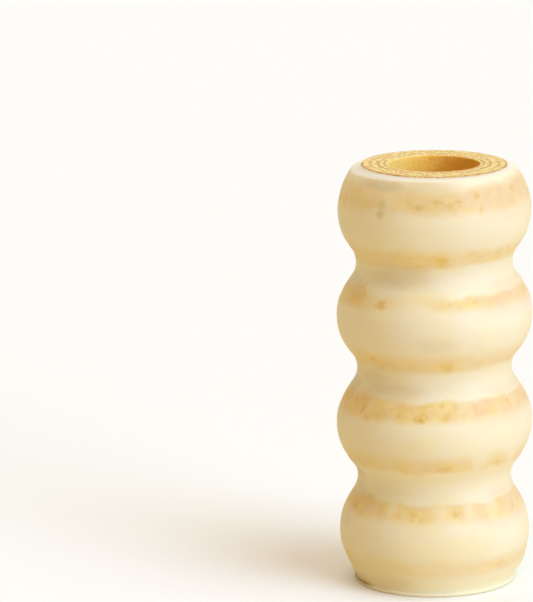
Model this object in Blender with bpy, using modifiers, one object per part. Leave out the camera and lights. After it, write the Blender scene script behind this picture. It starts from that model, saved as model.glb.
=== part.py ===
# Tower baumkuchen: a small spit cake of four round lobes, cut flat and standing on its end
# The cake is made of rings round the hole of the spit, inside a coat of white chocolate
# Metres, +Z up, the origin at the centre of the base

import math

import bpy

# Driving sizes
HEIGHT = 0.1513  # from the base to the flat cut
HOLE_RADIUS = 0.0161  # left by the spit
RING_RADII = (0.0176, 0.0199, 0.0229)  # where one ring ends and the next begins
GAP = 0.0003  # between neighbouring pieces

# The lobes of the finished side from top to bottom: height, greatest radius, radius of the bulge
LOBES = (
    (0.1352, 0.0344, 0.0230),
    (0.0971, 0.0349, 0.0205),
    (0.0581, 0.03495, 0.0219),
    (0.0182, 0.03395, 0.0257),
)
NECK_ROUND = 0.0084  # radius of the hollow between two lobes
COAT = 0.0016  # thickness of the chocolate on a lobe
CAKE_NECK_ROUND = 0.0086  # deeper than the coat's own necks, so chocolate pools there

# The rim round the cut and the foot on the table
RIM_ROUND = 0.0024  # rounding of the coat's top edge
FOOT_HEIGHT = 0.0026  # where the lowest lobe ends
CREASE = (0.0281, 0.0014)  # radius and height of the crease over the foot bead
BEAD_ROUND = 0.0006  # the bead of chocolate that set on the tray
BEAD_RADIUS = 0.0282

# How far the soft cake has settled out of true
LEAN = 0.00055  # the lobes sit higher on the right and lower on the left
FOOT_SWAY = 0.0006  # the lowest lobe's underside bulges to the right
FOOT_SWAY_HEIGHT = 0.0075
FOOT_SWAY_SPREAD = 0.0035
OVAL = (0.00022, 0.060)  # the side is a little oval, by this much, which comes and goes over this height
TRIANGLE = (0.00015, 0.045)  # and a little three-cornered
FIRM_RADIUS = 0.0229  # the cake keeps its true shape inside this
SOFT_RADIUS = 0.0285  # and settles fully outside this

# Fineness of the faceted solids
SEGMENTS = 48
SIDE_STEPS = (4, 4)  # from a lobe's middle to where it meets a neck, and across a neck
CAKE_STEPS = (3, 3)  # the same under the coat
RIM_STEPS = 3
BEAD_STEPS = 4
SMOOTH_ANGLE = math.radians(40)


def srgb(red, green, blue):
    """A display colour, 0 to 255, as linear light."""
    return tuple((level / 255) ** 2.2 for level in (red, green, blue)) + (1.0,)


CRUMB = srgb(240, 210, 140)
CRUST_CRUMB = srgb(232, 194, 122)
WHITE_CHOCOLATE = srgb(246, 234, 200)


def clear_scene():
    for thing in list(bpy.data.objects):
        bpy.data.objects.remove(thing, do_unlink=True)


def food_material(name, colour, roughness):
    material = bpy.data.materials.new(name)
    material.use_nodes = True
    shader = material.node_tree.nodes["Principled BSDF"]
    shader.inputs["Base Color"].default_value = colour
    shader.inputs["Roughness"].default_value = roughness
    shader.inputs["Metallic"].default_value = 0.0
    material.diffuse_color = colour
    return material


def arc(centre, radius, start, end, steps):
    """Points (radius, height) along an arc, both ends included."""
    angles = [start + (end - start) * i / steps for i in range(steps + 1)]
    return [(centre[0] + radius * math.cos(a), centre[1] + radius * math.sin(a)) for a in angles]


def bearing(centre, point):
    """The angle from an arc's centre to a point, 0 to a full turn."""
    return math.atan2(point[1] - centre[1], point[0] - centre[0]) % math.tau


def lobe_centre(lobe):
    height, radius, bulge = lobe
    return radius - bulge, height


def neck_centre(upper, lower, inset, neck_round):
    """Centre of the hollow that touches the bulges above and below it."""
    (ux, uz), (lx, lz) = lobe_centre(upper), lobe_centre(lower)
    to_upper = upper[2] - inset + neck_round
    to_lower = lower[2] - inset + neck_round
    apart = math.hypot(lx - ux, lz - uz)
    along = (to_upper ** 2 - to_lower ** 2 + apart ** 2) / (2 * apart)
    out = math.sqrt(to_upper ** 2 - along ** 2)
    dx, dz = (lx - ux) / apart, (lz - uz) / apart
    return ux + dx * along - dz * out, uz + dz * along + dx * out


def lobed_side(inset, neck_round, start, end, steps):
    """The lobed side from top to bottom, set in from the finished side.

    start and end are the angles, seen from the centres of the highest and lowest
    bulge, where the side begins and ends.
    """
    lobe_steps, neck_steps = steps
    points = []
    for i, lobe in enumerate(LOBES):
        centre = lobe_centre(lobe)
        bulge = lobe[2] - inset
        first, last = start, end
        if i > 0:
            above = neck_centre(LOBES[i - 1], lobe, inset, neck_round)
            first = bearing(centre, above)
        if i < len(LOBES) - 1:
            below = neck_centre(lobe, LOBES[i + 1], inset, neck_round)
            last = bearing(centre, below) - math.tau
        points += arc(centre, bulge, first, 0.0, lobe_steps)
        points += arc(centre, bulge, 0.0, last, lobe_steps)[1:]
        if i < len(LOBES) - 1:
            under = lobe_centre(LOBES[i + 1])
            leave, meet = bearing(below, centre), bearing(below, under)
            points += arc(below, neck_round, leave, meet, neck_steps)[1:-1]
    return points


def angle_at_height(lobe, bulge, height):
    return math.asin((height - lobe[0]) / bulge)


def rounded_rim():
    """The coat's top edge, from the flat cut out to the highest lobe, and the angle where it ends."""
    lobe = LOBES[0]
    centre_radius = lobe_centre(lobe)[0]
    round_height = HEIGHT - RIM_ROUND
    reach = lobe[2] - RIM_ROUND
    rise = round_height - lobe[0]
    round_radius = centre_radius + math.sqrt(reach ** 2 - rise ** 2)
    end = math.asin(rise / reach)
    return arc((round_radius, round_height), RIM_ROUND, math.pi / 2, end, RIM_STEPS)[:-1], end


def cake_side(inset, neck_round):
    """The side of the bare cake from the cut to the base, upright at the foot."""
    start = angle_at_height(LOBES[0], LOBES[0][2] - inset, HEIGHT)
    end = angle_at_height(LOBES[-1], LOBES[-1][2] - inset, FOOT_HEIGHT)
    points = lobed_side(inset, neck_round, start, end, CAKE_STEPS)
    return points + [(points[-1][0], 0.0)]


def coat_outline():
    """The chocolate's section: rim, lobes, crease and foot bead outside, the cake's shape inside."""
    rim, rim_angle = rounded_rim()
    foot_angle = angle_at_height(LOBES[-1], LOBES[-1][2], FOOT_HEIGHT)
    outside = rim + lobed_side(0.0, NECK_ROUND, rim_angle, foot_angle, SIDE_STEPS)
    bead_centre = (BEAD_RADIUS, BEAD_ROUND)
    bead = arc(bead_centre, BEAD_ROUND, math.radians(55), -math.pi / 2, BEAD_STEPS)
    inside = cake_side(COAT - GAP / 2, CAKE_NECK_ROUND - GAP / 2)
    return outside + [CREASE] + bead + inside[::-1]


def outer_ring_outline():
    """The outermost ring's section: the lobed side outside, straight inside."""
    inner = RING_RADII[-1] + GAP / 2
    outside = cake_side(COAT + GAP / 2, CAKE_NECK_ROUND + GAP / 2)
    return outside + [(inner, 0.0), (inner, HEIGHT)]


def straight_ring_outline(inner, outer):
    return [(outer, HEIGHT), (outer, 0.0), (inner, 0.0), (inner, HEIGHT)]


def turned_piece(name, outline, material, collection):
    """A closed outline, running down its outer side, turned round the Z axis."""
    mesh = bpy.data.meshes.new(name)
    count = len(outline)
    edges = [(i, (i + 1) % count) for i in range(count)]
    mesh.from_pydata([(radius, 0.0, height) for radius, height in outline], edges, [])
    piece = bpy.data.objects.new(name, mesh)
    collection.objects.link(piece)
    turn = piece.modifiers.new("Turn", "SCREW")
    turn.axis = "Z"
    turn.angle = math.tau
    turn.steps = SEGMENTS
    turn.render_steps = SEGMENTS
    turn.use_merge_vertices = True
    turn.merge_threshold = 0.00001
    mesh.materials.append(material)
    apply_turn(piece)
    return piece


def apply_turn(piece):
    """Make the turned shape the object's own mesh, shaded smooth between its sharp edges."""
    bpy.context.view_layer.update()
    evaluated = piece.evaluated_get(bpy.context.evaluated_depsgraph_get())
    mesh = bpy.data.meshes.new_from_object(evaluated)
    flat_profile = piece.data
    piece.modifiers.clear()
    piece.data = mesh
    bpy.data.meshes.remove(flat_profile)
    mesh.name = piece.name
    mesh.shade_smooth()
    mesh.set_sharp_from_angle(angle=SMOOTH_ANGLE)


def settle(piece):
    """Move the piece's points as the soft cake has settled: nothing near the hole, all at the side."""
    for vertex in piece.data.vertices:
        x, y, z = vertex.co
        radius, around = math.hypot(x, y), math.atan2(y, x)
        share = (radius - FIRM_RADIUS) / (SOFT_RADIUS - FIRM_RADIUS)
        share = min(max(share, 0.0), 1.0)
        to_right = x / LOBES[0][1]
        oval = OVAL[0] * math.sin(2 * around) * math.cos(math.tau * z / OVAL[1])
        triangle = TRIANGLE[0] * math.sin(3 * around) * math.sin(math.tau * z / TRIANGLE[1])
        foot = math.exp(-0.5 * ((z - FOOT_SWAY_HEIGHT) / FOOT_SWAY_SPREAD) ** 2)
        grown = 1 + share * (oval + triangle) / radius
        middle = math.sqrt(max(math.sin(math.pi * z / HEIGHT), 0.0))
        vertex.co.x = x * grown + share * FOOT_SWAY * foot
        vertex.co.y = y * grown
        vertex.co.z = z + share * LEAN * to_right * middle


def build():
    clear_scene()
    cake = bpy.data.collections.new("baumkuchen")
    bpy.context.scene.collection.children.link(cake)

    crumb = food_material("crumb", CRUMB, 0.9)
    crust_crumb = food_material("crust_crumb", CRUST_CRUMB, 0.85)
    chocolate = food_material("white_chocolate", WHITE_CHOCOLATE, 0.45)

    edges = (HOLE_RADIUS - GAP / 2,) + RING_RADII
    for i in range(len(RING_RADII)):
        outline = straight_ring_outline(edges[i] + GAP / 2, edges[i + 1] - GAP / 2)
        turned_piece(f"cake_ring_{i + 1}", outline, crumb, cake)

    last = len(RING_RADII) + 1
    settle(turned_piece(f"cake_ring_{last}", outer_ring_outline(), crust_crumb, cake))
    settle(turned_piece("chocolate_coat", coat_outline(), chocolate, cake))


build()
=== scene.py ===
import math
import random

import bpy
from mathutils import Euler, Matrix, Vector, noise


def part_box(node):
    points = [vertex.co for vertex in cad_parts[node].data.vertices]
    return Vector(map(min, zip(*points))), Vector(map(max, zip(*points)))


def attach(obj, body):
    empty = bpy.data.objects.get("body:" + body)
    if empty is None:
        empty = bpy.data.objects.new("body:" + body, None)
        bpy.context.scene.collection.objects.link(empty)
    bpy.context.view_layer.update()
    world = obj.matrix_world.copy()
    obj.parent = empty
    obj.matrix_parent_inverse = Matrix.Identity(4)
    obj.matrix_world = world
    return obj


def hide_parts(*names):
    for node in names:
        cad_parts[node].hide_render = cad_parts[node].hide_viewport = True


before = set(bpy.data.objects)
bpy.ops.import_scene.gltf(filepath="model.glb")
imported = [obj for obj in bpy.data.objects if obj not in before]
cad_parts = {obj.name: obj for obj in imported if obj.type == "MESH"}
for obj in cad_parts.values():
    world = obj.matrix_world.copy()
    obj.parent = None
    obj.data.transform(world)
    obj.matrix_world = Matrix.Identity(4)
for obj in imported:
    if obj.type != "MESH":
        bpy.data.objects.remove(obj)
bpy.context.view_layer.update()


# Shape of the finished cake, in metres, as it was poured on the spit and cut
shape = dict(
    height=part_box("chocolate_coat")[1].z,
    hole=0.0161,
    rings=(0.0176, 0.0199, 0.0229),  # where one ring of cake ends and the next begins
    cutRadius=0.0256,  # of the cake at the cut
    lobes=(  # from top to bottom: height, greatest radius, radius of the bulge
        (0.1352, 0.0344, 0.0230),
        (0.0971, 0.0349, 0.0205),
        (0.0581, 0.03495, 0.0219),
        (0.0182, 0.03395, 0.0257),
    ),
    neck=0.0084,  # radius of the hollow between two lobes
    coat=0.0016,  # chocolate on a lobe
    cakeNeck=0.0086,
    foot=0.0026,  # height where the lowest lobe ends
)
settled = dict(  # how far the soft cake has gone out of true
    lean=0.00055,
    footSway=0.0006,
    footHeight=0.0075,
    footSpread=0.0035,
    oval=(0.00022, 0.060),  # how far, and the height over which it repeats
    triangle=(0.00015, 0.045),
    firmRadius=0.0229,
    softRadius=0.0285,
)
cut = dict(  # how far the knife's cut lies under the highest point
    holeFall=0.00010,
    holeTip=0.00008,  # lower at the back of the hole and higher at its front
    rimFall=0.00004,
    rimTip=0.00004,  # higher at the back of the rim
    beyond=1.2,  # goes on outward past the rim, as a share of the cut's width
    depth=0.004,  # the side follows the cut down to here
    waves=0.00010,
    waveSize=1 / 160,
    middle=0.001,  # closer to the axis than this, all is taken to be this far out
)
weld = 0.000005  # points closer than this become one


def clamp(value):
    return min(max(value, 0.0), 1.0)


def smoothStep(low, high, value):
    t = clamp((value - low) / (high - low))
    return t * t * (3 - 2 * t)


def bell(value, middle, width):
    return math.exp(-((value - middle) / width) ** 2)


def noiseAt(point, size, shift=(0, 0, 0)):  # size of a feature in metres
    return noise.noise(point / size + Vector(shift))


def shareAt(point, size, shift=(0, 0, 0)):  # the same, from 0 to 1
    return 0.5 + 0.5 * noiseAt(point, size, shift)


def arcPoints(centre, radius, start, end, stepLength):
    count = max(2, math.ceil(abs(end - start) * radius / stepLength))
    turns = [start + (end - start) * i / count for i in range(count + 1)]
    return [(centre[0] + radius * math.cos(t), centre[1] + radius * math.sin(t)) for t in turns]


def spread(start, end, stepLength):  # numbers from start to end
    count = max(1, round(abs(end - start) / stepLength))
    return [start + (end - start) * i / count for i in range(count + 1)]


def bearing(centre, point):
    return math.atan2(point[1] - centre[1], point[0] - centre[0]) % math.tau


def lobeCentre(lobe):
    return lobe[1] - lobe[2], lobe[0]


def neckCentre(upper, lower, inset, neck):  # the hollow touches the bulges above and below it
    (ux, uz), (lx, lz) = lobeCentre(upper), lobeCentre(lower)
    toUpper = upper[2] - inset + neck
    toLower = lower[2] - inset + neck
    apart = math.hypot(lx - ux, lz - uz)
    along = (toUpper ** 2 - toLower ** 2 + apart ** 2) / (2 * apart)
    out = math.sqrt(toUpper ** 2 - along ** 2)
    dx, dz = (lx - ux) / apart, (lz - uz) / apart
    return ux + dx * along - dz * out, uz + dz * along + dx * out


def lobedSide(inset, neck, start, end, stepLength):  # top to bottom, set in from the finished side
    points = []
    lobes = shape["lobes"]
    for i, lobe in enumerate(lobes):
        centre, bulge = lobeCentre(lobe), lobe[2] - inset
        first, last = start, end
        if i > 0:
            first = bearing(centre, neckCentre(lobes[i - 1], lobe, inset, neck))
        if i < len(lobes) - 1:
            below = neckCentre(lobe, lobes[i + 1], inset, neck)
            last = bearing(centre, below) - math.tau
        points += arcPoints(centre, bulge, first, 0.0, stepLength)
        points += arcPoints(centre, bulge, 0.0, last, stepLength)[1:]
        if i < len(lobes) - 1:
            leave = bearing(below, centre)
            meet = bearing(below, lobeCentre(lobes[i + 1]))
            points += arcPoints(below, neck, leave, meet, stepLength)[1:-1]
    return points


def heightAngle(lobe, bulge, height):
    return math.asin((height - lobe[0]) / bulge)


def cakeSide(stepLength):  # where the chocolate meets the cake
    top, bottom = shape["lobes"][0], shape["lobes"][-1]
    start = heightAngle(top, top[2] - shape["coat"], shape["height"])
    end = heightAngle(bottom, bottom[2] - shape["coat"], shape["foot"])
    return lobedSide(shape["coat"], shape["cakeNeck"], start, end, stepLength)


# Building by hand: one outline drawn point by point, then spun round the axis
def pickNothing():
    if bpy.context.object and bpy.context.object.mode != "OBJECT":
        bpy.ops.object.mode_set(mode="OBJECT")
    bpy.ops.object.select_all(action="DESELECT")


def drawOutline(name, points):
    pickNothing()
    at = points[0]
    bpy.ops.mesh.primitive_plane_add(size=0.001, location=(at[0], 0, at[1]))
    piece = bpy.context.object
    piece.name = piece.data.name = name
    bpy.ops.object.mode_set(mode="EDIT")
    bpy.ops.mesh.select_mode(type="VERT")
    bpy.ops.mesh.merge(type="CENTER")  # leaves one point to draw from
    for point in points[1:]:
        move = (point[0] - at[0], 0, point[1] - at[1])
        bpy.ops.mesh.extrude_region_move(TRANSFORM_OT_translate={"value": move})
        at = point
    bpy.ops.object.mode_set(mode="OBJECT")
    for i in (0, len(points) - 1):
        piece.data.vertices[i].select = True
    bpy.ops.object.mode_set(mode="EDIT")
    bpy.ops.mesh.edge_face_add()  # closes the outline
    return piece


def spinOutline(piece, around):
    bpy.ops.mesh.select_all(action="SELECT")
    bpy.ops.mesh.spin(steps=around, angle=math.tau, center=(0, 0, 0), axis=(0, 0, 1))
    bpy.ops.mesh.select_all(action="SELECT")
    bpy.ops.mesh.remove_doubles(threshold=weld)
    bpy.ops.mesh.normals_make_consistent(inside=False)
    bpy.ops.object.mode_set(mode="OBJECT")
    bpy.ops.object.transform_apply(location=True, rotation=True, scale=True)
    bpy.ops.object.shade_smooth()


def storeValues(mesh, name, values):
    mesh.attributes.new(name, "FLOAT", "POINT")
    mesh.attributes[name].data.foreach_set("value", values)


def settle(point):  # the same unevenness as the solids have
    x, y, z = point
    radius, turn = math.hypot(x, y), math.atan2(y, x)
    share = clamp((radius - settled["firmRadius"]) / (settled["softRadius"] - settled["firmRadius"]))
    oval = settled["oval"][0] * math.sin(2 * turn) * math.cos(math.tau * z / settled["oval"][1])
    corner = settled["triangle"][0] * math.sin(3 * turn) * math.sin(math.tau * z / settled["triangle"][1])
    nearFoot = math.exp(-0.5 * ((z - settled["footHeight"]) / settled["footSpread"]) ** 2)
    grown = 1 + share * (oval + corner) / radius
    middle = math.sqrt(max(math.sin(math.pi * min(z / shape["height"], 1.0)), 0.0))
    lift = share * settled["lean"] * x / shape["lobes"][0][1] * middle
    return Vector((x * grown + share * settled["footSway"] * nearFoot, y * grown, z + lift))


def cutFall(x, y, z):
    radius = max(math.hypot(x, y), cut["middle"])
    outward = (radius - shape["hole"]) / (shape["cutRadius"] - shape["hole"])
    outward = min(max(outward, 0.0), cut["beyond"])
    toBack = y / radius
    atHole = cut["holeFall"] + cut["holeTip"] * toBack
    atRim = cut["rimFall"] - cut["rimTip"] * toBack
    wave = cut["waves"] * shareAt(Vector((x, y, 0)), cut["waveSize"])
    nearTop = smoothStep(shape["height"] - cut["depth"], shape["height"], z)
    return (atHole + (atRim - atHole) * outward + wave) * nearTop


# Shader nodes
def addNode(tree, kind, inputs=None, **settings):
    node = tree.nodes.new(kind)
    for name, value in settings.items():
        setattr(node, name, value)
    for name, value in (inputs or {}).items():
        if isinstance(value, bpy.types.NodeSocket):
            tree.links.new(value, node.inputs[name])
        else:
            node.inputs[name].default_value = value
    return node


def mixColours(tree, share, first, second):
    node = addNode(tree, "ShaderNodeMix", {0: share}, data_type="RGBA")
    for socket, value in ((node.inputs[6], first), (node.inputs[7], second)):
        if isinstance(value, bpy.types.NodeSocket):
            tree.links.new(value, socket)
        else:
            socket.default_value = (*value, 1.0)
    return node.outputs[2]


def layOver(tree, colour, layers):  # each share lays its tone over what is there
    for share, tone in layers:
        colour = mixColours(tree, share, colour, tone)
    return colour


def calculate(tree, what, first, second=0.0, clamped=False):
    inputs = {0: first, 1: second}
    return addNode(tree, "ShaderNodeMath", inputs, operation=what, use_clamp=clamped).outputs[0]


def vectorMath(tree, what, first, second, third=(0, 0, 0)):
    inputs = {0: first, 1: second, 2: third}
    return addNode(tree, "ShaderNodeVectorMath", inputs, operation=what).outputs[0]


def rescale(tree, value, fromLow, fromHigh, toLow=0.0, toHigh=1.0, kind="SMOOTHSTEP"):
    inputs = {"Value": value, "From Min": fromLow, "From Max": fromHigh, "To Min": toLow, "To Max": toHigh}
    return addNode(tree, "ShaderNodeMapRange", inputs, interpolation_type=kind).outputs[0]


def noiseTexture(tree, where, size, detail, roughness=0.5):  # size of a feature in metres
    inputs = {"Vector": where, "Scale": 1 / size, "Detail": detail, "Roughness": roughness}
    return addNode(tree, "ShaderNodeTexNoise", inputs)


def noiseValue(tree, where, *look):
    return noiseTexture(tree, where, *look).outputs["Fac"]


def cells(tree, where, size):
    return addNode(tree, "ShaderNodeTexVoronoi", {"Vector": where, "Scale": 1 / size})


def painted(tree, name):
    return addNode(tree, "ShaderNodeAttribute", attribute_name=name).outputs["Fac"]


def newMaterial(name, surface):
    material = bpy.data.materials.new(name)
    material.use_nodes = True
    shader = material.node_tree.nodes["Principled BSDF"]
    for socket, value in surface.items():
        shader.inputs[socket].default_value = value
    return material, material.node_tree, shader


def foodMaterial(name, surface, bump, body):  # body gives the colour, and the height for the bump
    material, tree, shader = newMaterial(name, surface)
    colour, height = body(tree, addNode(tree, "ShaderNodeTexCoord").outputs["Object"])
    tree.links.new(colour, shader.inputs["Base Color"])
    bumps = addNode(tree, "ShaderNodeBump", {"Height": height, **bump})
    tree.links.new(bumps.outputs[0], shader.inputs["Normal"])
    return material


# White chocolate coat
coat = dict(
    around=320,
    along=0.00076,
    hidden=0.0036,  # spacing of the hidden side's points
    hiddenTop=0.0006,  # where the hidden side ends, under the top
    crease=(0.0281, 0.0014),
    creaseLip=(0.0002, 0.0006),  # inward and down from the end of the lowest lobe
    beadRadius=0.0282,
    beadRound=0.0006,
    beadStart=65,  # degrees up from level
    beadFine=0.0002,
    bare=0.00026,  # how much lower the coat lies where it is thin
    bareSpot=0.4,  # share of that under a brown spot
    crumbs=0.00009,  # height of the crumbs under the thin coat
    waves=0.00014,  # slow unevenness of the whole coat
    dent=0.00022,  # how deep the greyer places lie
    filled=0.00030,  # how far the foot's crease is filled where it is pale
    cream=(0.920, 0.830, 0.570),
    ivory=(0.905, 0.835, 0.620),
    butter=(0.905, 0.790, 0.470),
    white=(0.920, 0.860, 0.680),
    pale=(0.985, 0.935, 0.665),  # painted light near the foot on the lit side, and a painted highlight along the foot's bead
    blush=(0.900, 0.700, 0.490),  # under the bands on the right
    peach=(0.825, 0.575, 0.306),
    gold=(0.870, 0.640, 0.190),
    toast=(0.770, 0.485, 0.130),
    # painted shade in the greyer places, with a few grey smudges
    shadeAndSmudgeTone=(0.700, 0.590, 0.320),
    creaseShade=(0.430, 0.280, 0.110),  # painted shade in the crease above the foot's bead, on the left
)
rim = dict(  # the chocolate's top edge slopes down from the cut to a crease
    crease=0.1504,
    dip=0.0011,  # lower on the left
    dipAt=(-75, 48),  # degrees round, and half width
    under=0.00038,  # the cake stands this much above the chocolate's inner edge
    soft=0.00016,
    fine=0.0004,  # spacing of the outline's points
    end=32,  # degrees up from level, where the plain outline goes on
    white=0.0005,  # the edge gets white over this height, up to the crease: partly the thicker chocolate's own whiter colour, partly painted light from above
)
uneven = dict(  # noises: size in metres, shift
    wander=((0.0090, 0.90), (0.0026, 0.55)),  # how far bands stray: size in metres, by how many mm
    block=(0.0034, (5, 2, 9)),
    blockShare=(0.72, 0.42),  # least share of a band, and how much the blocks add
    ragged=(0.0014, 0.35),  # edges of spots: size in metres, share
    golden=(0.0060, 0.50),
    lump=(0.0024,),
    slow=(0.0150, (1, 8, 3)),
    standing=(0.0022, 0.0045),  # the foot is even, and above this height all is uneven
    patchLift=0.0006,  # how far greyer and yellower places stray for each mm of wander
    patchSoft=0.1,
)
foot = dict(  # heights in metres, directions in degrees round from the front to the right
    left=(44, 62),  # the crease's painted shade starts to show from here to there on the left
    leftEnd=(110, 150),  # and fades out behind
    behind=(150, 40, 0.5),  # and again here: direction, half width, share
    stray=0.1,  # share for each mm of wander
    crease=(0.0014, 0.0006),  # middle and half height
    # a little painted shade lies above the crease too
    above=(0.0034, 0.0018),
    aboveShare=0.12,
    shaded=(-70, 60),  # direction and half width of the shaded side, which gets no painted light
    bead=(0.0010, 0.0018),  # the bead's painted highlight reaches up to here, and none from there up
    # painted light near the foot fades out between these heights
    pale=(0.0025, 0.0080),
)
# Bands where the cake shows through thin chocolate, from top to bottom. Middle height and half height are
# in millimetres. Three values are for the left, the front and the right, and edges says how soft the upper
# and the lower edge are.
bands = (
    dict(middle=142.8, half=(4.6, 3.8, 4.6), edges=(3.4, 5.0), rise=(0.2, 0.0, 1.0),
         share=(0.62, 0.95, 0.90), gold=(0.8, 0.6, 0.0)),
    dict(middle=121.8, half=(3.0, 3.2, 2.6), edges=(5.0, 1.6),
         share=(0.66, 0.68, 0.56), gold=(0.7, 1.0, 0.90)),
    dict(middle=106.7, half=(3.2, 1.8, 2.2), edges=(1.6, 3.8),
         share=(0.88, 0.76, 0.84), gold=(0.7, 1.0, 0.30)),
    dict(middle=84.4, half=(3.0, 3.3, 2.8), edges=(6.5, 2.0),
         share=(0.54, 0.56, 0.50), gold=(0.7, 0.8, 0.70)),
    dict(middle=68.0, half=(3.8, 3.2, 3.2), edges=(1.8, 4.6),
         share=(1.00, 0.92, 0.90), gold=(0.7, 0.7, 0.10)),
    dict(middle=48.2, half=(2.6, 3.0, 2.6), edges=(6.0, 1.8),
         share=(0.45, 0.64, 0.50), gold=(0.7, 0.8, 0.75)),
    dict(middle=30.6, half=(3.2, 2.9, 3.1), edges=(1.2, 4.4),
         share=(0.90, 0.84, 0.86), gold=(0.5, 0.9, 0.30)),
    dict(middle=10.8, half=(2.6, 3.0, 2.8), edges=(5.0, 3.5),
         share=(0.20, 0.42, 0.52), gold=(0.8, 1.0, 0.50)),
)
bandLook = dict(
    full=(75, 45),  # degrees round where the values for the left and for the right hold
    drift=16,  # degrees that the bands behind stray from the front's mirror image
    sway=3,  # degrees for each mm of wander
    reach=6,  # mm past the half height that are looked at
    softLeft=(25, 55),  # to the left the upper edge gets softer
    softest=3.2,  # mm
)
blushLook = (  # pinker places: side of the band, mm off it, half height, from and to which degrees, share
    (-1, 1.4, 2.4, (8, 38), 0.5),
    (1, 1.6, 1.8, (25, 55), 0.7),
)
# Places in a band with more or less of it: number of the band, degrees round from the front to the right,
# half width, change
bandPatches = (
    (0, -30, 12, -0.2), (0, 20, 6, -0.1), (1, 5, 7, 0.25), (1, 16, 4, -0.2), (1, 46, 6, 0.1),
    (1, -48, 12, -0.2), (2, -16, 17, -0.60), (2, -40, 9, -0.42), (3, 8, 5, 0.2), (3, -42, 5, 0.2),
    (4, -27, 5, -0.3), (4, -44, 4, -0.3), (4, 18, 6, -0.2), (5, 4, 7, 0.1), (5, 29, 4, -0.5),
    (5, 43, 8, 0.2), (5, 57, 5, -0.35), (5, 70, 6, -0.1), (5, -32, 8, -0.2), (6, -31, 4, -0.55),
    (6, -46, 6, -0.25), (6, 3, 5, -0.42), (6, 24, 5, -0.42), (6, 43, 5, -0.3), (7, 45, 6, 0.2),
)
# Browner spots: degrees round, then height, half width and half height in millimetres, then strength
spots = (
    (-10, 141.8, 2.4, 1.1, 1.0), (2, 143.2, 1.6, 1.3, 1.0), (8, 142.0, 1.6, 1.0, 0.85),
    (14, 143.4, 1.5, 1.0, 0.8), (27, 144.8, 1.1, 1.5, 0.6), (29, 140.4, 1.2, 1.6, 0.45),
    (58, 145.4, 1.4, 1.0, 0.5), (-15, 143.2, 1.6, 0.8, 0.3), (-33, 137.6, 1.0, 1.0, 0.25),
    (-11, 118.6, 5.5, 1.8, 0.25), (6, 121.8, 2.6, 1.4, 0.45), (31, 121.8, 1.7, 0.8, 0.30),
    (-15, 120.6, 1.3, 0.7, 0.3), (46, 123.6, 2.0, 1.2, 0.22), (38, 122.8, 1.2, 0.8, 0.22),
    (55, 124.2, 1.1, 0.9, 0.28), (62, 121.6, 1.3, 0.6, 0.2), (9.5, 106.4, 1.2, 0.7, 0.50),
    (-35, 106.0, 2.0, 1.8, 0.60), (-60, 108.8, 5.0, 2.8, 0.30), (25, 106.9, 1.0, 0.7, 0.35),
    (39, 106.8, 1.3, 0.6, 0.5), (8, 83.4, 2.4, 1.7, 0.28), (-43, 85.5, 2.6, 1.3, 0.28),
    (-7.5, 66.4, 2.1, 1.8, 0.75), (6, 66.3, 2.0, 1.5, 0.45), (-45, 64.8, 2.6, 0.8, 0.50),
    (-76, 70.6, 5.0, 3.2, 0.35), (-58, 71.0, 4.5, 2.2, 0.22), (-51, 67.6, 0.9, 2.6, 0.5),
    (-22, 67.2, 1.4, 0.9, 0.5), (-27, 68.9, 0.9, 0.6, 0.35), (4, 70.0, 0.9, 0.6, 0.40),
    (12, 69.4, 1.1, 0.8, 0.4), (38, 67.7, 1.9, 1.1, 0.25), (54, 69.2, 0.8, 0.5, 0.6),
    (-66, 30.2, 1.6, 1.5, 0.40), (-76, 31.4, 4.5, 2.4, 0.22), (-58, 33.0, 4.5, 2.4, 0.25),
    (-15, 30.2, 1.8, 2.1, 0.25), (-8, 28.8, 2.2, 0.8, 0.3), (14, 30.8, 1.7, 1.4, 0.4),
    (17, 29.2, 1.6, 0.7, 0.2), (4, 47.1, 2.4, 1.2, 0.35), (43, 47.6, 2.4, 0.6, 0.35),
    (45, 11.0, 1.4, 0.7, 0.25),
)
# Greyer places where the coat is a little sunken, given in the same way: mostly painted shade under the rim's
# crease, in the necks and down the far left, and a few grey smudges
shadesAndSmudges = (
    (-36, 147.9, 12.0, 2.1, 0.75), (-4, 148.0, 12.0, 2.4, 0.60), (28, 144.8, 30.0, 3.8, 0.26),
    (-34, 141.2, 1.8, 1.5, 0.60), (-34.5, 138.2, 1.7, 1.4, 0.70), (0, 143.4, 11.0, 5.8, 0.42),
    (-30, 66.5, 7.0, 2.6, 0.2), (-24, 115.4, 12.0, 4.4, 0.45), (-30, 73.8, 13.0, 2.8, 0.35),
    (-78, 43.0, 9.0, 4.6, 0.5), (-78, 35.5, 8.0, 3.0, 0.35), (-78, 24.5, 8.0, 3.6, 0.35),
    (-78, 80.0, 8.0, 3.6, 0.3), (-78, 73.5, 8.0, 2.8, 0.45), (-78, 62.0, 7.0, 2.6, 0.25),
    (-78, 111.0, 8.0, 3.0, 0.3), (-78, 122.0, 6.0, 2.4, 0.25), (1, 92.4, 8.0, 3.4, 0.26),
    (-30, 5.0, 9.0, 3.0, 0.3), (-52, 78.5, 8.0, 3.0, 0.25), (150, 147.0, 11.0, 1.9, 0.7),
    (-158, 114.5, 9.0, 3.4, 0.35), (176, 62.0, 6.0, 2.6, 0.3), (128, 40.0, 7.0, 2.4, 0.3),
)
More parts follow.
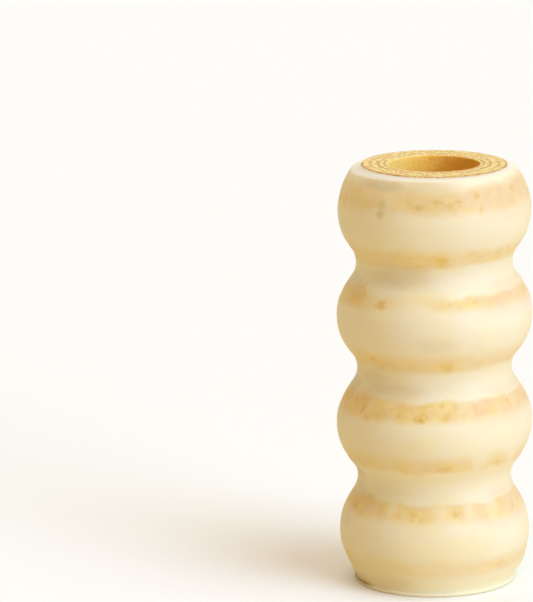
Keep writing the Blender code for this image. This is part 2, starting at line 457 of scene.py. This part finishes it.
# Yellower places, given in the same way
butters = (
    (12, 18.5, 17.0, 6.0, 0.7), (-6, 26.0, 9.0, 3.5, 0.7), (-8, 56.0, 8.0, 3.4, 0.6),
    (10, 34.8, 6.0, 2.5, 0.5), (10, 118.2, 6.0, 2.0, 0.5), (-2, 108.8, 9.0, 2.4, 0.6),
    (-140, 95.0, 14.0, 5.0, 0.6), (165, 20.0, 16.0, 5.0, 0.6), (120, 132.0, 12.0, 5.0, 0.6),
    (-168, 56.0, 12.0, 5.0, 0.5),
)
spotLook = dict(
    reach=2.5,  # half widths that are looked at
    edge=(0.4, 1.35),  # in half widths, from full strength to none
    sway=2,  # degrees for each mm of wander
    lift=0.0004,  # metres for each mm of wander
)
backSpots = dict(
    seed=7,
    count=46,
    azimuth=(95, 265),
    off=(-0.8, 0.8),  # from the middle of a band, in half heights
    width=(0.8, 2.4),
    tall=(0.45, 0.9),  # share of the width
    share=(0.25, 0.8),
)


def creaseHeight(azimuth):
    return rim["crease"] - rim["dip"] * bell(azimuth, *rim["dipAt"])


def rimReach(angle, azimuth):  # from the top bulge's centre to its surface, sloped off above the crease
    (centreRadius, centreHeight), bulge = lobeCentre(shape["lobes"][0]), shape["lobes"][0][2]
    turn, inner = math.radians(azimuth), shape["cutRadius"]
    x, y = inner * math.sin(turn), -inner * math.cos(turn)
    innerHeight = shape["height"] - cutFall(x, y, shape["height"]) - rim["under"]
    crease = creaseHeight(azimuth)
    creaseRadius = centreRadius + math.sqrt(bulge ** 2 - (crease - centreHeight) ** 2)
    leanOut, leanUp = innerHeight - crease, creaseRadius - inner  # square to the slope
    slope = leanOut * (inner - centreRadius) + leanUp * (innerHeight - centreHeight)
    slope /= leanOut * math.cos(angle) + leanUp * math.sin(angle)
    return bulge - rim["soft"] * math.log(1 + math.exp((bulge - slope) / rim["soft"]))


def coatOutline():  # the outer side first, then the foot and the hidden inner side
    top, bottom = shape["lobes"][0], shape["lobes"][-1]
    centreRadius, centreHeight = lobeCentre(top)
    start = math.atan2(shape["height"] - centreHeight, shape["cutRadius"] - centreRadius)
    rimEnd = math.radians(rim["end"])
    side = []
    for angle in spread(start, rimEnd, rim["fine"] / top[2])[:-1]:
        reach = rimReach(angle, 0)
        side.append((centreRadius + reach * math.cos(angle), centreHeight + reach * math.sin(angle)))
    footAngle = heightAngle(bottom, bottom[2], shape["foot"])
    side += lobedSide(0.0, shape["neck"], rimEnd, footAngle, coat["along"])
    lip = (side[-1][0] - coat["creaseLip"][0], side[-1][1] - coat["creaseLip"][1])
    beadCentre = (coat["beadRadius"], coat["beadRound"])
    beadStart = math.radians(coat["beadStart"])
    bead = arcPoints(beadCentre, coat["beadRound"], beadStart, -math.pi / 2, coat["beadFine"])
    inside = cakeSide(coat["hidden"])
    hidden = [(inside[-1][0], 0.0)] + inside[:0:-1]
    hidden += [(inside[0][0], shape["height"] - coat["hiddenTop"])]
    return side + [lip, coat["crease"]] + bead, hidden


def makeCoat():
    outer, hidden = coatOutline()
    piece = drawOutline("chocolateCoat", outer + hidden)
    bpy.ops.object.mode_set(mode="OBJECT")
    piece.vertex_groups.new(name="outside").add(list(range(len(outer))), 1.0, "REPLACE")
    bpy.ops.object.mode_set(mode="EDIT")
    spinOutline(piece, coat["around"])
    return piece


def azimuthOf(point):  # degrees round from the front, to the right
    return math.degrees(math.atan2(point.x, -point.y))


def turnedFrom(azimuth, middle):  # degrees, by the shorter way round
    return (azimuth - middle + 180) % 360 - 180


def onFront(azimuth):  # the unseen back repeats the front's bands, mirrored and stretched
    if abs(azimuth) <= 90:
        return azimuth
    behind = abs(azimuth) - 90
    aside = math.sin(math.radians(2 * behind)) * math.sin(math.radians(3 * azimuth))
    return math.copysign(90 - behind, azimuth) + bandLook["drift"] * aside


def leftToRight(values, azimuth):  # the front's value between the left's and the right's
    left, front, right = values
    fullLeft, fullRight = bandLook["full"]
    if azimuth < 0:
        return front + (left - front) * smoothStep(0, fullLeft, -azimuth)
    return front + (right - front) * smoothStep(0, fullRight, azimuth)


def bandShares(azimuth, height, wander):  # how much cake shows through, and how golden it is
    share = golden = 0.0
    at = onFront(azimuth) + bandLook["sway"] * wander
    for number, band in enumerate(bands):
        off = 1000 * height + wander - band["middle"] - leftToRight(band.get("rise", (0, 0, 0)), at)
        half = leftToRight(band["half"], at)
        if abs(off) > half + bandLook["reach"]:
            continue
        upper, lower = band["edges"]
        upper = max(upper, bandLook["softest"] * smoothStep(*bandLook["softLeft"], -at))
        here = 1 - smoothStep(-0.5 * upper, 0.5 * upper, off - half)
        here *= smoothStep(-0.5 * lower, 0.5 * lower, off + half)
        strength = leftToRight(band["share"], at)
        for patchBand, patchAt, width, change in bandPatches:
            if patchBand == number:
                strength += change * bell(at, patchAt, width)
        here *= clamp(strength)
        if here > share:
            share, golden = here, leftToRight(band["gold"], at)
    return share, golden


def blushShare(azimuth, height, wander):  # pinker chocolate right under and above the bands of the lobes
    at = onFront(azimuth)
    share = 0.0
    for number in (0, 2, 4, 6):  # those on the lobes
        half = leftToRight(bands[number]["half"], at)
        off = 1000 * height + wander - bands[number]["middle"]
        for side, gap, width, turn, most in blushLook:
            if number > 0 or side < 0:  # above the top band is the rim
                share = max(share, most * bell(off, side * (half + gap), width) * smoothStep(*turn, at))
    return share


def allSpots():  # those seen from the front, and others scattered behind
    scatter = random.Random(backSpots["seed"])
    behind = []
    for _ in range(backSpots["count"]):
        band = scatter.choice(bands[:-1])
        azimuth = scatter.uniform(*backSpots["azimuth"])
        height = band["middle"] + scatter.uniform(*backSpots["off"]) * band["half"][1]
        width = scatter.uniform(*backSpots["width"])
        tall = width * scatter.uniform(*backSpots["tall"])
        behind.append((azimuth, height, width, tall, scatter.uniform(*backSpots["share"])))
    return list(spots) + behind


def spotShare(azimuth, radius, height, ragged, known):
    share = 0.0
    for at, middle, width, tall, strength in known:
        up = (1000 * height - middle) / tall
        if abs(up) > spotLook["reach"]:
            continue
        along = math.radians(turnedFrom(azimuth, at)) * 1000 * radius / width
        if abs(along) < spotLook["reach"]:
            share = max(share, strength * (1 - smoothStep(*spotLook["edge"], math.hypot(along, up) + ragged)))
    return share


def footLook(point, normal, azimuth, wander):  # painted shade in the crease, how far it is filled, and painted light near the foot and on its bead
    direction, width, share = foot["behind"]
    leftward = smoothStep(*foot["left"], -azimuth) * (1 - smoothStep(*foot["leftEnd"], -azimuth))
    leftward += share * bell(turnedFrom(azimuth, direction), 0, width)
    inCrease = bell(point.z, *foot["crease"])
    above = foot["aboveShare"] * bell(point.z, *foot["above"])
    brown = min(inCrease + above, 1.0) * clamp(leftward + foot["stray"] * wander)
    filled = coat["filled"] * inCrease * (1 - min(leftward, 1.0))
    height = point.z + normal.z * filled
    middle, width = foot["shaded"]
    shaded = min(bell(turnedFrom(azimuth, middle), 0, width) + leftward, 1.0)
    bead = (1 - smoothStep(*foot["bead"], height)) * (1 - leftward)
    pale = max((1 - smoothStep(*foot["pale"], height)) * (1 - shaded), bead)
    return brown, filled, pale


def lookAt(point, normal, known):  # what is painted at a place outside, and how far its crease is filled
    radius, azimuth, height = math.hypot(point.x, point.y), azimuthOf(point), point.z
    wander = sum(by * noiseAt(point, size) for size, by in uneven["wander"])
    thin, golden = bandShares(azimuth, height, wander)
    least, more = uneven["blockShare"]
    thin *= least + more * shareAt(point, *uneven["block"])
    golden += uneven["golden"][1] * noiseAt(point, uneven["golden"][0])
    ragged = uneven["ragged"][1] * noiseAt(point, uneven["ragged"][0])
    swayed, lifted = azimuth + spotLook["sway"] * wander, height + spotLook["lift"] * wander
    toasted = spotShare(swayed, radius, lifted, ragged, known)
    patch = (azimuth, radius, height + uneven["patchLift"] * wander, uneven["patchSoft"] * wander)
    crease = creaseHeight(azimuth)
    edge = smoothStep(crease - rim["white"], crease, height)
    brown, filled, pale = footLook(point, normal, azimuth, wander)
    return filled, dict(
        thin=thin, golden=golden, toasted=toasted, edge=edge, crease=brown, pale=pale,
        shadeAndSmudge=spotShare(*patch, shadesAndSmudges) * (1 - edge), buttery=spotShare(*patch, butters),
        blush=blushShare(azimuth, height, wander))


def sunkAt(point, look):  # how far the coat lies under its plain outline
    thin, toasted = look["thin"], look["toasted"]
    depth = coat["bare"] * min(thin + coat["bareSpot"] * toasted, 1)
    depth += coat["crumbs"] * max(thin, toasted) * shareAt(point, *uneven["lump"])
    depth += coat["waves"] * shareAt(point, *uneven["slow"]) + coat["dent"] * look["shadeAndSmudge"]
    return depth * smoothStep(*uneven["standing"], point.z)


def shapeRim(piece, outside):
    centreRadius, centreHeight = lobeCentre(shape["lobes"][0])
    for i in outside:
        point = piece.data.vertices[i].co
        if point.z <= centreHeight:
            continue
        radius = math.hypot(point.x, point.y)
        angle = math.atan2(point.z - centreHeight, radius - centreRadius)
        reach = rimReach(angle, azimuthOf(point))
        grown = (centreRadius + reach * math.cos(angle)) / radius
        point.x *= grown
        point.y *= grown
        point.z = centreHeight + reach * math.sin(angle)


def paintCoat(piece):
    mesh = piece.data
    outside = {v.index for v in mesh.vertices if v.groups}
    shapeRim(piece, outside)
    mesh.update()
    normals = [vertex.normal.copy() for vertex in mesh.vertices]
    known = allSpots()
    looks = {}
    for i, vertex in enumerate(mesh.vertices):
        point = vertex.co.copy()
        if i in outside:
            filled, looks[i] = lookAt(point, normals[i], known)
            point += normals[i] * (filled - sunkAt(point, looks[i]))
        vertex.co = settle(point)
    for name in next(iter(looks.values())):
        storeValues(mesh, name, [looks[i][name] if i in looks else 0.0 for i in range(len(normals))])


chocolate = dict(  # noises: size in metres, detail, roughness. Others: from which to which value they count
    broad=(0.0160, 2.0),
    mottle=(0.0022, 3.0, 0.6),
    grain=(0.0009, 3.0, 0.6),
    block=0.0034,  # blocks of crumb under the thin coat
    crook=(0.0020, 2.0),
    crooked=0.0022,  # how far their borders are moved
    ivory=(0.35, 0.7),
    butter=(0.45, 0.8, 0.0, 0.25),
    blockShare=(0.0, 1.0, 0.88, 1.08, "LINEAR"),
    blockTint=(0.0, 1.0, -0.3, 0.3, "LINEAR"),
    patches=(0.3, 0.65, 0.90, 1.04),
    halo=0.7,  # golden round the brown of a spot
    toastPatches=(0.38, 0.6, 0.35, 1.3),
    toastGrain=(0.3, 0.6, 0.7, 1.1),
    bump={"Strength": 0.22, "Distance": 0.0002},
    surface={
        "Roughness": 0.5,
        "Specular IOR Level": 0.35,
        "Subsurface Weight": 0.35,
        "Subsurface Radius": (1.0, 0.55, 0.25),
        "Subsurface Scale": 0.0035,
    },
)


def crumbBlocks(tree, where):  # cells with crooked borders, with two random values for each
    shift = noiseTexture(tree, where, *chocolate["crook"]).outputs["Color"]
    shift = vectorMath(tree, "ADD", shift, [-0.5] * 3)  # both ways
    crooked = vectorMath(tree, "MULTIPLY_ADD", shift, [chocolate["crooked"]] * 3, where)
    cell = cells(tree, crooked, chocolate["block"]).outputs["Color"]
    return addNode(tree, "ShaderNodeSeparateColor", {0: cell}).outputs[:2]


def coatColour(tree, where):
    noises = (chocolate[name] for name in ("broad", "mottle", "grain"))
    broad, mottle, grain = (noiseValue(tree, where, *look) for look in noises)
    blockShare, blockTint = crumbBlocks(tree, where)
    colour = layOver(tree, coat["cream"], (
        (rescale(tree, broad, *chocolate["ivory"]), coat["ivory"]),
        (rescale(tree, mottle, *chocolate["butter"]), coat["butter"]),
        (painted(tree, "buttery"), coat["butter"]),
        (painted(tree, "blush"), coat["blush"]),
        # painted light near the foot, and a painted highlight on the bead
        (painted(tree, "pale"), coat["pale"]),
    ))
    thin, golden, toasted = (painted(tree, name) for name in ("thin", "golden", "toasted"))
    share = rescale(tree, blockShare, *chocolate["blockShare"])
    share = calculate(tree, "MULTIPLY", share, rescale(tree, mottle, *chocolate["patches"]))
    share = calculate(tree, "MULTIPLY", thin, share, clamped=True)
    tint = calculate(tree, "ADD", golden, rescale(tree, blockTint, *chocolate["blockTint"]), clamped=True)
    patchy = calculate(tree, "MULTIPLY", rescale(tree, mottle, *chocolate["toastPatches"]),
                       rescale(tree, grain, *chocolate["toastGrain"]))
    colour = layOver(tree, colour, (
        (share, mixColours(tree, tint, coat["peach"], coat["gold"])),
        (calculate(tree, "MULTIPLY", toasted, chocolate["halo"]), coat["gold"]),
        (calculate(tree, "MULTIPLY", toasted, patchy, clamped=True), coat["toast"]),
        # painted shade in the greyer places, with a few grey smudges
        (painted(tree, "shadeAndSmudge"), coat["shadeAndSmudgeTone"]),
        # whiter rim edge: partly thicker chocolate, partly painted light from above
        (painted(tree, "edge"), coat["white"]),
        # painted shade in the foot's crease
        (painted(tree, "crease"), coat["creaseShade"]),
    ))
    return colour, calculate(tree, "ADD", grain, calculate(tree, "MULTIPLY", share, mottle))


whiteChocolate = makeCoat()
paintCoat(whiteChocolate)
coatMaterial = foodMaterial("whiteChocolate", chocolate["surface"], chocolate["bump"], coatColour)
whiteChocolate.data.materials.append(coatMaterial)
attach(whiteChocolate, "root")
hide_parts("chocolate_coat")
print("coat made:", len(whiteChocolate.data.polygons), "faces")


# Rings of cake, bare at the cut, at the base and in the hole
crumb = dict(
    around=480,
    across=0.00025,
    wall=((0.0090, 0.00024), (0.0300, 0.00065), (1.0, 0.0022)),  # down to this depth, rows this far apart
    hidden=0.0040,
    edge=0.00008,  # rounding of a ring at the browned line
    lip=0.00045,  # rounding at the hole
    lipMiddle=0.3,  # how far its middle lies from the corner, in parts of the lip
    wander=0.00045,  # how far a browned line strays from its circle
    wanderSize=0.010,
    wanderLevel=0.003,  # height in the noise that is taken for all heights
    wanderEnd=0.001,  # this far outside the last line between rings the straying starts to fade
    poreDepth=0.00014,
    poreMiddle=0.75,  # most of the relief lies under the cut
    wallPores=0.8,  # share of the relief in the hole
    level=0.00001,  # what lies this close to the cut or the base belongs to it
    near=0.0003,  # what lies this close to the hole belongs to its wall
)
relief = (  # texture, size, share of the pores' depth
    ("VORONOI", 0.0012, 1.0),
    ("CLOUDS", 0.0007, 0.8),
    ("CLOUDS", 0.0045, 0.7),
)
baked = dict(  # noises: size in metres, detail, roughness. Others: from which to which value they count
    pale=(0.940, 0.808, 0.392),
    yellow=(0.885, 0.690, 0.240),
    pore=(0.610, 0.360, 0.085),
    bright=(0.990, 0.900, 0.600),
    line=(0.620, 0.350, 0.100),
    outerLine=(0.500, 0.275, 0.085),
    fine=(0.0011, 4.0, 0.7),
    broad=(0.0040, 2.0),
    cells=0.0012,
    broadYellow=(0.35, 0.65, 0.2, 0.8),
    finePore=(0.47, 0.62, 0.0, 0.72),
    fineBright=(0.46, 0.34, 0.0, 0.85),
    cellPore=(0.25, 0.1, 0.0, 0.4),
    sway=(0.0018, 2.0),
    swayed=(0.0, 1.0, -0.0005, 0.0005, "LINEAR"),  # how far a browned line is moved
    patches=(0.0070, 1.0),
    patchy=(0.35, 0.65, 0.6, 1.0),
    speckled=(0.35, 0.6, 0.95, 1.2),
    bump={"Strength": 0.5, "Distance": 0.0003},
    surface={
        "Roughness": 0.85,
        "Specular IOR Level": 0.25,
        "Subsurface Weight": 0.3,
        "Subsurface Radius": (1.0, 0.52, 0.18),
        "Subsurface Scale": 0.002,
    },
)
lines = (  # browned lines: radius, half width, strength, tone
    (0.0176, 0.00070, 0.75, baked["line"]),
    (0.0199, 0.00085, 0.95, baked["line"]),
    (0.0229, 0.00080, 0.70, baked["line"]),
    (0.0255, 0.00070, 0.95, baked["outerLine"]),
)
wallLook = dict(
    pale=(1.000, 0.752, 0.205),
    middle=(1.000, 0.645, 0.120),
    dark=(0.850, 0.455, 0.060),
    broad=(0.0060, 3.0),
    strayed=(0.2, 0.8, -0.004, 0.004, "LINEAR"),  # metres, from side to side
    toHalfShade=(-0.012, -0.003),  # painted shade: from left to right across the hole the wall gets darker, where less light falls in
    toFullShade=(-0.0025, 0.0040, 0.0, 0.8),
    fineDark=(0.50, 0.64, 0.0, 0.40),
    finePale=(0.45, 0.33, 0.0, 0.45),
)


def ringOutline(inner, outer, number):
    height, edge = shape["height"], crumb["edge"]
    lip = crumb["lip"] if number == 1 else edge
    top = [(r, height) for r in spread(inner + lip, outer - edge, crumb["across"])]
    if number < 4:
        side = [(outer, z) for z in spread(height - edge, edge, crumb["hidden"] * 4)]
    else:
        side = cakeSide(crumb["hidden"])
        side[0] = (side[0][0], height - edge)
        side += [(side[-1][0], edge)]
    footOut = side[-1][0] - edge
    base = [(r, 0.0) for r in spread(footOut, inner + edge, crumb["across"] * 2)]
    if number > 1:
        return top + side + base + [(inner, edge), (inner, height - edge)]
    wall = [(inner + crumb["lipMiddle"] * lip, height - crumb["lipMiddle"] * lip)]
    start = height - lip
    for depth, rows in crumb["wall"]:
        end = max(height - depth, edge)
        wall += [(inner, z) for z in spread(start, end, rows)]
        start = end - rows
    return top + side + base + wall[::-1]


def makeRing(number):
    edges = (shape["hole"], *shape["rings"], cakeSide(crumb["hidden"])[0][0])
    piece = drawOutline(f"cakeRing{number}", ringOutline(edges[number - 1], edges[number], number))
    spinOutline(piece, crumb["around"])
    return piece


def stray(x, y, radius):  # sideways, the same for both rings at a browned line
    inside = smoothStep(shape["hole"], shape["rings"][0], radius)
    inside *= 1 - smoothStep(shape["rings"][2] + crumb["wanderEnd"], shape["cutRadius"], radius)
    return inside * crumb["wander"] * noiseAt(Vector((x, y, crumb["wanderLevel"])), crumb["wanderSize"])


def roughenRing(piece, number):
    mesh = piece.data
    bare = piece.vertex_groups.new(name="bare")
    radii = [math.hypot(vertex.co.x, vertex.co.y) for vertex in mesh.vertices]
    storeValues(mesh, "bakedRadius", radii)
    showing, wall = [], []
    for vertex, radius in zip(mesh.vertices, radii):
        if vertex.co.z > shape["height"] - crumb["level"] or vertex.co.z < crumb["level"]:
            showing.append(vertex.index)
        elif number == 1 and radius < shape["hole"] + crumb["near"]:
            wall.append(vertex.index)
    bare.add(showing, 1.0, "REPLACE")
    bare.add(wall, crumb["wallPores"], "REPLACE")
    bpy.context.view_layer.objects.active = piece
    for kind, size, strength in relief:
        texture = bpy.data.textures.new("crumb" + kind.title(), kind)
        texture.noise_scale = size
        modifier = piece.modifiers.new("crumb", "DISPLACE")
        modifier.texture = texture
        modifier.texture_coords = "LOCAL"
        modifier.vertex_group = "bare"
        modifier.mid_level = crumb["poreMiddle"]
        modifier.strength = crumb["poreDepth"] * strength
        bpy.ops.object.modifier_apply(modifier=modifier.name)
    for vertex in mesh.vertices:
        x, y, z = vertex.co
        radius = math.hypot(x, y)
        grown = 1 + stray(x, y, radius) / radius
        point = settle(Vector((x * grown, y * grown, z)))
        point.z = max(point.z - cutFall(x, y, z), 0.0)
        vertex.co = point


def crumbColour(tree, where):
    fine, broad = noiseValue(tree, where, *baked["fine"]), noiseValue(tree, where, *baked["broad"])
    pores = cells(tree, where, baked["cells"]).outputs["Distance"]
    colour = layOver(tree, baked["pale"], (
        (rescale(tree, broad, *baked["broadYellow"]), baked["yellow"]),
        (rescale(tree, fine, *baked["finePore"]), baked["pore"]),
        (rescale(tree, fine, *baked["fineBright"]), baked["bright"]),
        (rescale(tree, pores, *baked["cellPore"]), baked["pore"]),
    ))
    sway = rescale(tree, noiseValue(tree, where, *baked["sway"]), *baked["swayed"])
    radius = calculate(tree, "ADD", painted(tree, "bakedRadius"), sway)
    patchy = rescale(tree, noiseValue(tree, where, *baked["patches"]), *baked["patchy"])
    patchy = calculate(tree, "MULTIPLY", patchy, rescale(tree, fine, *baked["speckled"]))
    for lineRadius, width, strength, tone in lines:
        away = calculate(tree, "ABSOLUTE", calculate(tree, "SUBTRACT", radius, lineRadius))
        share = rescale(tree, away, width, 0.0, 0.0, strength)
        colour = mixColours(tree, calculate(tree, "MULTIPLY", share, patchy), colour, tone)
    return colour, calculate(tree, "SUBTRACT", pores, fine)


def wallColour(tree, where):
    fine, broad = noiseValue(tree, where, *baked["fine"]), noiseValue(tree, where, *wallLook["broad"])
    across = addNode(tree, "ShaderNodeSeparateXYZ", {0: where}).outputs[0]
    across = calculate(tree, "ADD", across, rescale(tree, broad, *wallLook["strayed"]))
    colour = layOver(tree, wallLook["pale"], (
        # painted shade across the hole, darker towards its right
        (rescale(tree, across, *wallLook["toHalfShade"]), wallLook["middle"]),
        (rescale(tree, across, *wallLook["toFullShade"]), wallLook["dark"]),
        (rescale(tree, fine, *wallLook["fineDark"]), wallLook["dark"]),
        (rescale(tree, fine, *wallLook["finePale"]), wallLook["pale"]),
    ))
    return colour, fine


def coverHole(piece):  # the hole's wall takes the second material
    for face in piece.data.polygons:
        x, y, z = face.center
        if math.hypot(x, y) < shape["hole"] + 0.5 * crumb["lip"] and z > crumb["edge"]:
            face.material_index = 1


cakeCrumb = foodMaterial("cakeCrumb", baked["surface"], baked["bump"], crumbColour)
holeWall = foodMaterial("holeWall", baked["surface"], baked["bump"], wallColour)
for number in (1, 2, 3, 4):
    ring = makeRing(number)
    ring.data.materials.append(cakeCrumb)
    if number == 1:
        ring.data.materials.append(holeWall)
        coverHole(ring)
    roughenRing(ring, number)
    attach(ring, "root")
    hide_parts(f"cake_ring_{number}")
    print("ring", number, "made:", len(ring.data.polygons), "faces")


# Floor, light and camera
studio = dict(
    floor=60.0,
    floorSides=96,
    floorColour=(0.915, 0.985, 1.000),
    floorGlow=(0.820, 0.700, 0.440),  # light that the floor throws back on the cake is warmer
    floorSurface={"Roughness": 0.8, "Specular IOR Level": 0.2},
    ambient=(0.425, 0.335, 0.214),
    backdrop=(0.97, 0.965, 0.955),
)
suns = dict(  # aim is azimuth to the camera's right, and elevation
    key=dict(aim=(50, 10), angle=40, strength=2.40, colour=(0.590, 0.685, 1.0)),
    top=dict(aim=(10, 80), angle=60, strength=0.98, colour=(1.0, 0.574, 0.516)),
    side=dict(aim=(62, 60), angle=40, strength=1.12, colour=(0.590, 0.875, 1.0)),
    back=dict(aim=(-155, 35), angle=80, strength=0.56, colour=(0.74, 0.97, 1.0)),
    rear=dict(aim=(178, 3), angle=30, strength=0.40, colour=(0.86, 0.93, 1.0)),
)
view = dict(
    target=(0, 0, 0.0755),
    elevation=13.086,
    distance=1.733,
    turn=(0.833, 1.980, 0.029),  # puts the cake at the frame's right
    lens=290.3,
    clip=(0.05, 200),
)


def makeFloor():
    pickNothing()
    bpy.ops.mesh.primitive_circle_add(
        vertices=studio["floorSides"], radius=studio["floor"], fill_type="NGON", location=(0, 0, 0))
    floor = bpy.context.object
    floor.name = "paleFloor"
    material, tree, shader = newMaterial("paleFloor", studio["floorSurface"])
    seen = addNode(tree, "ShaderNodeLightPath").outputs["Is Camera Ray"]
    colour = mixColours(tree, seen, studio["floorGlow"], studio["floorColour"])
    tree.links.new(colour, shader.inputs["Base Color"])
    floor.data.materials.append(material)


def towards(azimuth, elevation):  # azimuth to the camera's right, both in degrees
    azimuth, elevation = math.radians(azimuth), math.radians(elevation)
    level = math.cos(elevation)
    return Vector((math.sin(azimuth) * level, -math.cos(azimuth) * level, math.sin(elevation)))


def addSun(name, aim, angle, strength, colour):
    source = towards(*aim)
    bpy.ops.object.light_add(type="SUN", location=source)
    light = bpy.context.object
    light.name = name
    light.rotation_euler = source.to_track_quat("Z", "Y").to_euler()
    light.data.angle = math.radians(angle)
    light.data.energy = strength
    light.data.color = colour


def lightWorld():
    world = bpy.data.worlds.new("softRoom")
    bpy.context.scene.world = world
    world.use_nodes = True
    tree = world.node_tree
    seen = addNode(tree, "ShaderNodeLightPath").outputs["Is Camera Ray"]
    colour = mixColours(tree, seen, studio["ambient"], studio["backdrop"])
    tree.links.new(colour, tree.nodes["Background"].inputs["Color"])


def addCamera():
    back = towards(0, view["elevation"])
    turn = Euler([math.radians(a) for a in view["turn"]])
    bpy.ops.object.camera_add(location=Vector(view["target"]) + back * view["distance"])
    camera = bpy.context.object
    camera.rotation_mode = "QUATERNION"
    camera.rotation_quaternion = (-back).to_track_quat("-Z", "Y") @ turn.to_quaternion()
    camera.data.lens = view["lens"]
    camera.data.clip_start, camera.data.clip_end = view["clip"]
    bpy.context.scene.camera = camera


makeFloor()
for name, sun in suns.items():
    addSun(name, **sun)
lightWorld()
addCamera()
bpy.context.scene.view_settings.view_transform = "Standard"
print("floor, lights and camera set")
